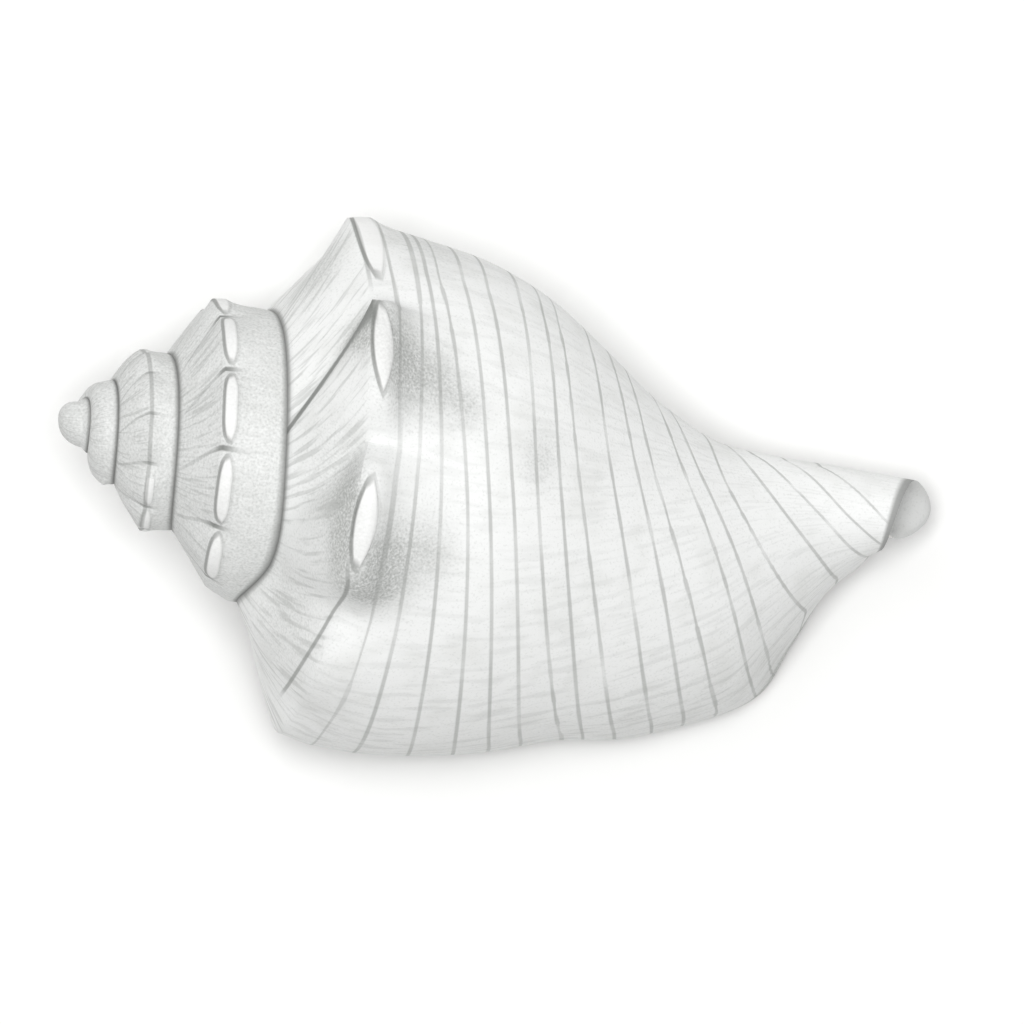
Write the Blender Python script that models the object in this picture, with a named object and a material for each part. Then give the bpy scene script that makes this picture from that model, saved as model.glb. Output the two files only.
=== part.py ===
"""A large knobbed conch shell at its real size, lying on its aperture.

Metres, +Z up. The coiling axis runs along X, from the apex at -X to the end of the siphonal canal at +X, and
the outer lip is on the -Y side. The shell is one piece, as it grew: one coiled sheet of shell with its outer
skin, its lip, and the hollow of its last whorl, which opens downwards through the aperture.

Every point has a stage, the growth angle in degrees: 0 where the whorl passes the lip's side, +28 at the
lip's edge, and 360 less for each whorl back towards the apex. Across a whorl, line 0 is the shoulder, line 2
is where the next whorl attaches, and line 10 is the end of the siphonal canal.
"""

import math

import bmesh
import bpy
import numpy as np

MM = 0.001

# Rest pose: how far the shell's own frame is pitched and rolled when it lies on its knobs and lip, and a
# point (along, lip side, dorsal, in mm) of what it rests on, a little inside the knobs, which are worn flat.
PITCH_DEG = 7.4
ROLL_DEG = -0.5
REST_POINT = (46.8, 6.5, -45.1)

# Growth.
LIP_STAGE = 28.0
TURN = 360.0
TURNS = 5
START_STAGE = LIP_STAGE - TURNS * TURN
# The line where the next whorl attaches, by stage: it dips before the last whorl climbs back to its lip.
ATTACH_LINE = [(-1772, 2.0), (-600, 2.0), (-540, 2.05), (-450, 2.45), (-402, 2.6), (-366, 2.05), (-332, 2.0),
               (28, 2.0)]
CORNER_GAP = 0.3
FREE_LINE = 2.0
END_LINE = 10.0

# Sections of the whorls, in mm: (along the axis, radius) at lines 0 to 10, from shoulder to canal end.
BODY_SECTIONS = {
    -720: [(23.1, 22.0), (26.6, 22.2), (30.0, 21.8), (36, 19.5), (44, 14.5), (56, 10.5), (74, 8.5),
           (100, 7.6), (132, 7.2), (166, 6.6), (197, 6.0)],
    -540: [(30.5, 30.0), (37.0, 31.0), (43.4, 31.3), (52, 28.5), (62, 22), (75, 14.5), (93, 9.8), (116, 8.2),
           (144, 7.4), (170, 6.7), (194, 6.2)],
    -450: [(35.1, 31.6), (40.4, 33.0), (45.4, 33.5), (55.5, 30.5), (66.5, 24.0), (79.5, 16.5), (97, 11.1),
           (119.5, 8.6), (145, 7.4), (168.5, 6.7), (189.5, 6.2)],
    -360: [(39.7, 33.2), (43.7, 35.0), (47.4, 35.6), (59, 32.5), (71, 26), (84, 18.5), (101, 12.4),
           (123, 9.0), (149, 7.5), (172, 6.9), (196.5, 6.8)],
    -270: [(49, 41.0), (56.5, 43.0), (65, 42.6), (76.5, 39.6), (88.5, 33.5), (101.5, 25.0), (117, 16.0),
           (136, 10.2), (157, 7.8), (178, 7.2), (204.6, 7.0)],
    -180: [(58.5, 50.8), (70, 53.2), (82, 52.6), (94, 49.8), (106.5, 43.4), (119.5, 32.8), (133, 20.8),
           (149, 10.8), (165, 7.6), (180, 7.4), (199.0, 7.2)],
    -90: [(66.2, 49.4), (77, 50.9), (89.5, 50.1), (101, 47.6), (113, 42.6), (127.5, 34.0), (143.5, 23.5),
          (157.5, 14.6), (171, 10.4), (182, 9.2), (194.5, 8.8)],
    0: [(63.8, 61.0), (81.0, 64.5), (99.0, 62.6), (111.5, 60.2), (125.5, 57.6), (143, 56.0), (163, 48.5),
        (172, 36.5), (182.0, 21.5), (187.5, 15.0), (193.4, 10.2)],
    28: [(62.2, 66.8), (83.5, 74.0), (102.7, 73.0), (115.3, 70.7), (130, 66.8), (149, 66.2), (172.5, 56.0),
         (179.3, 39.5), (185.0, 26.2), (190.6, 18.7), (193.6, 10.5)],
}
# Spire whorls, by stage, in mm: (shoulder along, radius), (attachment line along, radius).
SPIRE_SECTIONS = {
    -1620: [(3.8, 3.4), (5.4, 4.6)],
    -1440: [(6.4, 6.6), (8.0, 7.6)],
    -1260: [(8.6, 9.0), (11.0, 9.6)],
    -1080: [(12.6, 13.2), (15.2, 13.6)],
    -900: [(16.4, 16.8), (22.6, 17.6)],
}
# The hidden lines of a spire whorl shrink towards the axis: step along per line, share of the radius kept.
HIDDEN_STEP, HIDDEN_SHRINK = 0.25, 0.85
# How far the middle of a spire whorl's side bulges, as a share of its radius.
SIDE_BULGE = 0.02
# The ramp between suture and shoulder is straight, with a bow given as a share of its width, by stage.
RAMP_BOW = [(-1772, 0.22), (-1260, 0.2), (-900, 0.1), (-540, 0.0), (28, 0.01)]
# How far below the lip's side the lip's edge reaches, in degrees about the axis, past the lip stage, by line.
LIP_REACH = [-2, 3.4, 3.4, 1.5, 0, -1, -2, -2, 6, 8, 4]
LIP_REACH_FROM = -60.0

# The canal leans away from the lip and a little down, in mm: from and to along the axis, then how far.
CANAL_FROM, CANAL_TO = 90.0, 175.0
CANAL_SIDE, CANAL_DORSAL = -10.5, -3.0

# Knobs along the shoulder of the last whorl: (stage, height in mm, half of its level crest, older side, newer
# side), the last three in degrees. The crest narrows to a fold that slants down the ramp to the suture.
KNOBS = [(-323, 2.0, 0, 16, 25), (-282, 6.6, 0, 16, 25), (-241, 7.6, 0, 16, 25), (-176, 4.6, 0, 16, 25),
         (-118.5, 9.4, 9.5, 10, 17), (-78, 9.4, 10, 12, 18), (-36, 3.2, 0, 16, 25), (5, 2.0, 0, 16, 25)]
KNOB_SLANT = 22.0
RAMP_FALL = 1.15
# Across the whorl the crest is level over a share of a line, and then falls away until the free line.
KNOB_FLAT, KNOB_FALL, KNOB_FREE = 0.4, 0.42, 1.2
KNOB_LEAN = -0.22
# The smaller knobs of the spire follow a rule: their height is a share of the whorl's radius.
SPIRE_KNOB_LAST, SPIRE_KNOB_SPACING, SPIRE_KNOB_COUNT = -397.0, 34.0, 21
SPIRE_KNOB_SHARE = 0.065
SPIRE_KNOB_HALF_WIDTH = 17.0
SPIRE_KNOB_SLANT = 12.0
# The stages over which the spire's slant turns into the last whorl's.
SLANT_FROM, SLANT_TO = -380.0, -330.0

# Wall thickness in mm: thinner from a stage to the lip, thinner between two lines to the canal, thicker at
# the shoulder.
WALL, LIP_WALL, CANAL_WALL = 3.2, 2.6, 2.2
LIP_WALL_FROM = -60.0
CANAL_WALL_FROM, CANAL_WALL_TO = 6.0, 8.5
SHOULDER_EXTRA = 1.2
# The ramp's control points for the hollow lie at these shares of its width.
RAMP_BEFORE, RAMP_MIDDLE = 0.3, 0.55
# How far in the hollow goes, by line, and the share of that length over which it closes onto the pillar.
INNER_END = [(0, -332), (4, -332), (5, -300), (6, -235), (7, -160), (8, -110), (9, -92), (10, -92)]
CLOSING_FROM = 0.75

# Mesh.
COLUMN_STEP = 6.0
RAMP_ROWS = 5
WALL_ROWS = 4
BASE_LINES = [2.9, 3.5, 4.1, 4.7, 5.3, 5.9, 6.4, 6.9, 7.4, 7.9, 8.4, 9.0, 9.5, 10.0]
INNER_COLUMNS = 20

# The canal's end is scooped out: (share of the radius, mm inwards) from the wall's edge to the bottom.
SCOOP = [(0.8, 0.0), (0.6, 5.0), (0.35, 10.0)]
SCOOP_BOTTOM = 182.0
SCOOP_DIMPLE = 1.0

# Chalky bleached shell.
COLOUR = (0.86, 0.87, 0.86, 1.0)
ROUGHNESS = 0.6


def padded_sections():
    """All section tables as one array: stages, then lines 0 to 10, then (along, radius)."""
    stages, rows = [START_STAGE], [[(0.0, 0.0)] * 11]
    for stage, (shoulder, attach) in sorted(SPIRE_SECTIONS.items()):
        middle = ((shoulder[0] + attach[0]) / 2, (shoulder[1] + attach[1]) / 2 + SIDE_BULGE * attach[1])
        hidden = [
            (attach[0] + HIDDEN_STEP * attach[1] * k, attach[1] * HIDDEN_SHRINK**k) for k in range(1, 9)
        ]
        stages.append(stage)
        rows.append([shoulder, middle, attach] + hidden)
    for stage, section in sorted(BODY_SECTIONS.items()):
        stages.append(stage)
        rows.append(section)
    return np.array(stages, float), np.array(rows, float)


SECTION_STAGES, SECTIONS = padded_sections()
LINES = np.arange(11.0)


def curve_weights(knots, at):
    """Catmull-Rom weights on uneven knots: the four neighbours' indices and weights for each value."""
    at = np.clip(at, knots[0], knots[-1])
    last = len(knots) - 1
    i = np.clip(np.searchsorted(knots, at, side="right") - 1, 0, last - 1)
    index = [np.clip(i + k, 0, last) for k in (-1, 0, 1, 2)]
    step = knots[index[2]] - knots[index[1]]
    s = (at - knots[index[1]]) / step
    h00, h01 = 2 * s**3 - 3 * s**2 + 1, 3 * s**2 - 2 * s**3
    h10, h11 = (s**3 - 2 * s**2 + s) * step, (s**3 - s**2) * step
    before = h10 / (knots[index[2]] - knots[index[0]])
    after = h11 / (knots[index[3]] - knots[index[1]])
    return index, [-before, h00 - after, h01 + before, after]


def smooth_list(pairs, at):
    """A smooth curve through (x, y) pairs, read at the values given."""
    knots = np.array([p[0] for p in pairs], float)
    values = np.array([p[1] for p in pairs], float)
    index, weights = curve_weights(knots, np.asarray(at, float))
    return sum(values[i] * w for i, w in zip(index, weights))


def smoothstep(low, high, x):
    """A smooth rise from 0 at low to 1 at high."""
    s = np.clip((x - low) / (high - low), 0.0, 1.0)
    return s * s * (3 - 2 * s)


def base_point(stage, line):
    """(along, radius) of the plain whorl, without knobs, at a stage and a line."""
    stage, line = np.broadcast_arrays(np.asarray(stage, float), np.asarray(line, float))
    stage_index, stage_weights = curve_weights(SECTION_STAGES, stage)
    line_index, line_weights = curve_weights(LINES, line)
    point = 0.0
    for si, sw in zip(stage_index, stage_weights):
        for li, lw in zip(line_index, line_weights):
            point = point + SECTIONS[si, li] * (sw * lw)[..., None]
    return point


def attach_line(stage):
    """The line where the next whorl attaches."""
    return smooth_list(ATTACH_LINE, stage)


def corner_line(stage):
    """The line of the hollow's inner corner, just below the suture."""
    return attach_line(stage) + CORNER_GAP


def ramp_point(stage, share):
    """(along, radius) on the ramp, from the suture at share 0 to the shoulder at share 1."""
    stage, share = np.broadcast_arrays(np.asarray(stage, float), np.asarray(share, float))
    suture = base_point(stage - TURN, attach_line(stage - TURN))
    shoulder = base_point(stage, 0.0)
    across = shoulder - suture
    normal = np.stack([-across[..., 1], across[..., 0]], axis=-1)
    bow = smooth_list(RAMP_BOW, stage)
    return suture + across * share[..., None] + normal * (4 * bow * share * (1 - share))[..., None]


def knob_height(stage, crest):
    """Height of the knobs in mm: level along the crest, then a squared cosine on each side.

    The crest's length is scaled by crest, from 0 at the suture to 1 on the shoulder.
    """
    stage, crest = np.broadcast_arrays(np.asarray(stage, float), np.asarray(crest, float))
    height = np.zeros(stage.shape)
    for at, tall, level, older, newer in KNOBS:
        side = np.where(stage < at, older, newer)
        s = np.clip((np.abs(stage - at) - level * crest) / side, 0, 1)
        height = np.maximum(height, tall * np.cos(s * math.pi / 2) ** 2)
    for k in range(SPIRE_KNOB_COUNT):
        at = SPIRE_KNOB_LAST - SPIRE_KNOB_SPACING * k
        tall = SPIRE_KNOB_SHARE * float(base_point(at, 0.0)[1])
        s = np.clip(np.abs(stage - at) / SPIRE_KNOB_HALF_WIDTH, 0, 1)
        height = np.maximum(height, tall * np.cos(s * math.pi / 2))
    return height


def knobbed(point, stage, share, crest=1.0):
    """Moves skin points out by the knobs: share is 1 on the shoulder and falls to 0 away from it."""
    turn = SPIRE_KNOB_SLANT + (KNOB_SLANT - SPIRE_KNOB_SLANT) * smoothstep(SLANT_FROM, SLANT_TO, stage)
    height = knob_height(stage - turn * (1 - crest), crest) * share
    return point + np.stack([KNOB_LEAN * height, height], axis=-1)


def ramp_skin(stage, share):
    """The ramp with its knobs' folds, from the suture at share 0 to the shoulder at share 1."""
    share = np.asarray(share, float)
    return knobbed(ramp_point(stage, share), stage, share**RAMP_FALL, share)


def base_skin(stage, line):
    """The whorl below its shoulder, with the knobs falling away."""
    line = np.asarray(line, float)
    share = np.exp(-np.clip(line - KNOB_FLAT, 0, None) / KNOB_FALL)
    share = share * (1 - smoothstep(KNOB_FREE, FREE_LINE, line))
    return knobbed(base_point(stage, line), stage, share)


def place(point, stage, line, reach_share=1.0):
    """From (along, radius) at a stage to the shell's own frame: along, lip side and dorsal."""
    along, radius = point[..., 0], point[..., 1]
    reach = smooth_list(list(enumerate(LIP_REACH)), line) * reach_share
    angle = -np.radians(stage + reach * smoothstep(LIP_REACH_FROM, LIP_STAGE, stage))
    bend = smoothstep(CANAL_FROM, CANAL_TO, along)
    side = CANAL_SIDE * bend + radius * np.cos(angle)
    return np.stack([along, side, CANAL_DORSAL * bend + radius * np.sin(angle)], axis=-1)


def inner_controls(stage):
    """Control points of the hollow's outer wall: the corner by the suture, the ramp, lines 0 to 10."""
    corner = base_point(stage - TURN, corner_line(stage - TURN))
    plain = [ramp_point(stage, RAMP_MIDDLE)] + [base_point(stage, line) for line in LINES]
    wall = WALL + (LIP_WALL - WALL) * smoothstep(LIP_WALL_FROM, LIP_STAGE, stage)
    controls = [corner]
    for k, point in enumerate(plain):
        before = plain[k - 1] if k else ramp_point(stage, RAMP_BEFORE)
        after = plain[k + 1] if k + 1 < len(plain) else point + (point - before)
        along = after - before
        normal = np.stack([along[..., 1], -along[..., 0]], axis=-1)
        normal = normal / np.linalg.norm(along, axis=-1)[..., None]
        thick = wall + (CANAL_WALL - wall) * smoothstep(CANAL_WALL_FROM, CANAL_WALL_TO, k - 1)
        if k == 1:
            thick = thick + SHOULDER_EXTRA
        controls.append(point + normal * thick[..., None])
    return np.stack(controls, axis=0)


def inner_grid(stage, knots):
    """The hollow's outer wall at (row, column) stages; knots are the rows' places on the control points."""
    out = np.empty(stage.shape + (2,))
    for row, knot in enumerate(knots):
        controls = inner_controls(stage[row])
        index, weights = curve_weights(np.arange(len(controls), dtype=float), np.array(knot, float))
        out[row] = sum(controls[int(i)] * float(w) for i, w in zip(index, weights))
    return out


def grid_faces(index, flip=False):
    """Quads between neighbouring rows and columns of an index grid."""
    a, b, c, d = index[:-1, :-1], index[:-1, 1:], index[1:, 1:], index[1:, :-1]
    quads = np.stack([a, b, c, d], axis=-1).reshape(-1, 4)
    return quads[:, ::-1] if flip else quads


class Builder:
    """Collects grids of points in the shell's own frame, and their faces."""

    def __init__(self):
        self.points, self.faces, self.count = [], [], 0

    def add(self, points):
        """Adds points and returns their indices."""
        points = np.asarray(points, float)
        index = np.arange(self.count, self.count + points[..., 0].size).reshape(points.shape[:-1])
        self.points.append(points.reshape(-1, 3))
        self.count += index.size
        return index

    def grid(self, points, flip=False):
        """Adds a grid of points and its faces, and returns the indices."""
        index = self.add(points)
        self.faces += grid_faces(index, flip).tolist()
        return index


def shell_mesh():
    """The whole surface: skin, lip, hollow and canal end, in mm in the shell's own frame."""
    build = Builder()
    columns_per_turn = round(TURN / COLUMN_STEP)
    ramp_shares = np.linspace(0, 1, RAMP_ROWS + 1)
    wall_shares = np.linspace(0, 1, WALL_ROWS + 1)[1:]
    wall_lines = wall_shares * FREE_LINE
    far_lines = np.array([FREE_LINE + CORNER_GAP] + BASE_LINES)

    # Spire, from the apex to the aperture's inner edge.
    spire = START_STAGE + COLUMN_STEP * np.arange((TURNS - 1) * columns_per_turn + 1)
    rows = [place(ramp_skin(spire, share), spire, 0.0, share) for share in ramp_shares]
    attach = attach_line(spire)
    rows += [place(base_skin(spire, share * attach), spire, share * attach) for share in wall_shares]
    build.grid(np.array(rows))

    # The last whorl, from the aperture's inner edge to the lip.
    last = LIP_STAGE - TURN + COLUMN_STEP * np.arange(columns_per_turn + 1)
    rows = [place(ramp_skin(last, share), last, 0.0, share) for share in ramp_shares]
    rows += [place(base_skin(last, line), last, line) for line in np.concatenate([wall_lines, far_lines])]
    skin = build.grid(np.array(rows))

    # The hollow: its outer wall, and the earlier whorl and pillar that it winds round.
    row_lines = np.concatenate([np.zeros(RAMP_ROWS + 1), wall_lines, far_lines])
    knots = np.concatenate([ramp_shares * 2, 2 + wall_lines, 2 + far_lines])
    share = np.linspace(0, 1, INNER_COLUMNS + 1)
    end = np.interp(row_lines, *np.array(INNER_END, float).T)
    stage = LIP_STAGE + (end[:, None] - LIP_STAGE) * share[None, :]
    outer = inner_grid(stage, knots)
    pillar_line = np.maximum(row_lines[:, None], corner_line(stage - TURN))
    pillar = base_point(stage - TURN, pillar_line)
    closing = 1 - smoothstep(CLOSING_FROM, 1.0, share)[None, :, None]
    outer = pillar + (outer - pillar) * closing
    reach_share = np.concatenate([ramp_shares, np.ones(len(row_lines) - len(ramp_shares))])
    inner = build.grid(place(outer, stage, row_lines[:, None], reach_share[:, None]), flip=True)
    first = RAMP_ROWS + 1 + WALL_ROWS
    core = build.grid(place(pillar[first:], stage[first:] - TURN, pillar_line[first:]))

    # The lip's edge, the thin wall's end at the canal, and the scoop in the canal's end.
    rim = np.stack([skin[:, -1], inner[:, 0]])
    build.faces += grid_faces(rim).tolist()
    wall_end = np.stack([skin[-1, ::-1][: INNER_COLUMNS + 1], inner[-1]])
    build.faces += grid_faces(wall_end).tolist()
    loop = np.concatenate([skin[-1, : columns_per_turn - INNER_COLUMNS + 1], core[-1, ::-1]])
    edge = np.concatenate(build.points)[loop]
    centre = np.array([SCOOP_BOTTOM, CANAL_SIDE, CANAL_DORSAL])
    rings = [loop]
    for share, depth in SCOOP:
        ring = centre + (edge - centre) * np.array([1.0, share, share]) - np.array([depth, 0, 0])
        rings.append(build.add(np.maximum(ring, [SCOOP_BOTTOM, -np.inf, -np.inf])))
    build.faces += grid_faces(np.stack(rings)).tolist()
    bottom = int(build.add(centre - np.array([SCOOP_DIMPLE, 0, 0])))
    build.faces += [[int(a), int(b), bottom] for a, b in zip(rings[-1][:-1], rings[-1][1:])]
    return np.concatenate(build.points), build.faces


def to_world(points):
    """From the shell's own frame in mm to the world in metres, centred over the origin."""
    along, lip, dorsal = (points - np.array(REST_POINT)).T
    roll, pitch = math.radians(ROLL_DEG), math.radians(PITCH_DEG)
    side = lip * math.cos(roll) - dorsal * math.sin(roll)
    up = lip * math.sin(roll) + dorsal * math.cos(roll)
    x = along * math.cos(pitch) + up * math.sin(pitch)
    z = up * math.cos(pitch) - along * math.sin(pitch)
    world = np.stack([x, -side, z], axis=1) * MM
    middle = (world.min(axis=0) + world.max(axis=0)) / 2
    return world - np.array([middle[0], middle[1], 0.0])


def wear_flat(bm):
    """Cuts away what lies below z = 0 and closes the cuts: the flats that the shell stands on."""
    geometry = list(bm.verts) + list(bm.edges) + list(bm.faces)
    bmesh.ops.bisect_plane(
        bm, geom=geometry, dist=1e-7, plane_co=(0, 0, 0), plane_no=(0, 0, 1), clear_inner=True
    )
    open_edges = [edge for edge in bm.edges if len(edge.link_faces) == 1]
    flats = bmesh.ops.holes_fill(bm, edges=open_edges, sides=0)["faces"]
    for face in flats:
        face.smooth = False


def shell_material():
    """Chalky bleached shell."""
    material = bpy.data.materials.new("bleached_shell")
    material.use_nodes = True
    surface = material.node_tree.nodes["Principled BSDF"]
    surface.inputs["Base Color"].default_value = COLOUR
    surface.inputs["Roughness"].default_value = ROUGHNESS
    surface.inputs["Metallic"].default_value = 0.0
    return material


def main():
    """Builds the shell as one mesh object in its collection."""
    for obj in list(bpy.data.objects):
        bpy.data.objects.remove(obj)
    points, faces = shell_mesh()
    mesh = bpy.data.meshes.new("shell")
    mesh.from_pydata(to_world(points).tolist(), [], faces)
    bm = bmesh.new()
    bm.from_mesh(mesh)
    bmesh.ops.remove_doubles(bm, verts=bm.verts, dist=1e-6)
    bmesh.ops.dissolve_degenerate(bm, edges=bm.edges, dist=1e-7)
    for face in bm.faces:
        face.smooth = True
    wear_flat(bm)
    bmesh.ops.recalc_face_normals(bm, faces=bm.faces)
    bm.to_mesh(mesh)
    bm.free()
    mesh.materials.append(shell_material())
    shell = bpy.data.objects.new("shell", mesh)
    collection = bpy.data.collections.new("conch_shell")
    bpy.context.scene.collection.children.link(collection)
    collection.objects.link(shell)


if __name__ == "__main__":
    main()
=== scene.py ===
"""A large sun-bleached conch shell, lying on its aperture and seen from straight above.

The shell is one grown sheet. Every point of it has a stage, the growth angle in degrees: 0 where the whorl
passes the lip's side, +28 at the lip's edge, and 360 less for each whorl back towards the apex. Across a
whorl, line 0 is the shoulder, line 2 is where the next whorl attaches, and line 10 is the end of the
siphonal canal. Sizes are in mm in the shell's own frame (along the coiling axis, towards the lip, towards
the back) until they are placed in the world.
"""

import logging
import math
from dataclasses import dataclass, field
from enum import IntEnum

import bmesh
import bpy
import numpy as np
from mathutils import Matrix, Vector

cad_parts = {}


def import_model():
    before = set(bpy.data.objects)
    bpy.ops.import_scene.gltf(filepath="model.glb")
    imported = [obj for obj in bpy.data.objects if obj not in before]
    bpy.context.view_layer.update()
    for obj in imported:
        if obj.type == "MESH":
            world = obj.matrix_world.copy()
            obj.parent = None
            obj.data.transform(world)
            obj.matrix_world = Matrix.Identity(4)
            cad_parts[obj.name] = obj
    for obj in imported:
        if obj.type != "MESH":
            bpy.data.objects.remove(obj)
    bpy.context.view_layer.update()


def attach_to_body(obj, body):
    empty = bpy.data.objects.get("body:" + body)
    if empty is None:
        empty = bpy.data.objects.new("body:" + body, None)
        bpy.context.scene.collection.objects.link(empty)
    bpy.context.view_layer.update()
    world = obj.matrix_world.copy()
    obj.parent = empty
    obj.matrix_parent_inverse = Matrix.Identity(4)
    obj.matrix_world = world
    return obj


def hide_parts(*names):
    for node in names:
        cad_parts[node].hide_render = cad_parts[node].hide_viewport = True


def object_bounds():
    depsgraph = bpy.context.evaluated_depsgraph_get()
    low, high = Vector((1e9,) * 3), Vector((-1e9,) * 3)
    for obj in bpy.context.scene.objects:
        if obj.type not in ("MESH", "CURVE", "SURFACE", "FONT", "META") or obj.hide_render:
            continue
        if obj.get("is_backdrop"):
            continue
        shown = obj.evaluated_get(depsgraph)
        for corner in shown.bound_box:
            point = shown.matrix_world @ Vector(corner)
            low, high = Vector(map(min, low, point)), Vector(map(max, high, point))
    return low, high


LOG = logging.getLogger("conch_shell")
MM = 0.001
TURN = 360.0
LAST_LINE = 10
Array = np.ndarray
Pairs = tuple[tuple[float, float], ...]


class Finish(IntEnum):
    """The shell's finishes, in the order of its material slots."""

    OUTSIDE = 0
    INSIDE = 1


def linear(code: str) -> tuple[float, float, float, float]:
    """Turn an sRGB hex colour into linear red, green, blue and alpha.

    Args:
        code: A colour such as "#EDEEED".

    Returns:
        The linear colour, with alpha 1.
    """
    parts = [int(code[i : i + 2], 16) / 255 for i in (1, 3, 5)]
    red, green, blue = [c / 12.92 if c <= 0.04045 else ((c + 0.055) / 1.055) ** 2.4 for c in parts]
    return red, green, blue, 1.0


def smoothstep(low: float, high: float, x: Array) -> Array:
    """Rise smoothly from 0 at low to 1 at high, as 3s^2 - 2s^3 of the share s between them.

    Args:
        low: Where the rise starts.
        high: Where the rise ends.
        x: The values to read it at.

    Returns:
        The rise at each value.
    """
    s = np.clip((x - low) / (high - low), 0.0, 1.0)
    return s * s * (3 - 2 * s)


def curve_weights(knots: Array, at: Array) -> tuple[list[Array], list[Array]]:
    """Weigh the four neighbours of each value for a Catmull-Rom curve through uneven knots.

    Args:
        knots: The knots, rising.
        at: The values to read the curve at.

    Returns:
        The neighbours' indices and their weights.
    """
    at = np.clip(at, knots[0], knots[-1])
    last = len(knots) - 1
    i = np.clip(np.searchsorted(knots, at, side="right") - 1, 0, last - 1)
    index = [np.clip(i + k, 0, last) for k in (-1, 0, 1, 2)]
    step = knots[index[2]] - knots[index[1]]
    s = (at - knots[index[1]]) / step
    h00, h01 = 2 * s**3 - 3 * s**2 + 1, 3 * s**2 - 2 * s**3
    h10, h11 = (s**3 - 2 * s**2 + s) * step, (s**3 - s**2) * step
    before = h10 / (knots[index[2]] - knots[index[0]])
    after = h11 / (knots[index[3]] - knots[index[1]])
    return index, [-before, h00 - after, h01 + before, after]


def smooth_list(pairs: Pairs, at: Array | float) -> Array:
    """Read a smooth curve through (x, y) pairs.

    Args:
        pairs: The points that the curve passes through.
        at: The values to read it at.

    Returns:
        The curve's values.
    """
    knots = np.array([p[0] for p in pairs], float)
    values = np.array([p[1] for p in pairs], float)
    index, weights = curve_weights(knots, np.asarray(at, float))
    return sum(values[i] * w for i, w in zip(index, weights))


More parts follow.
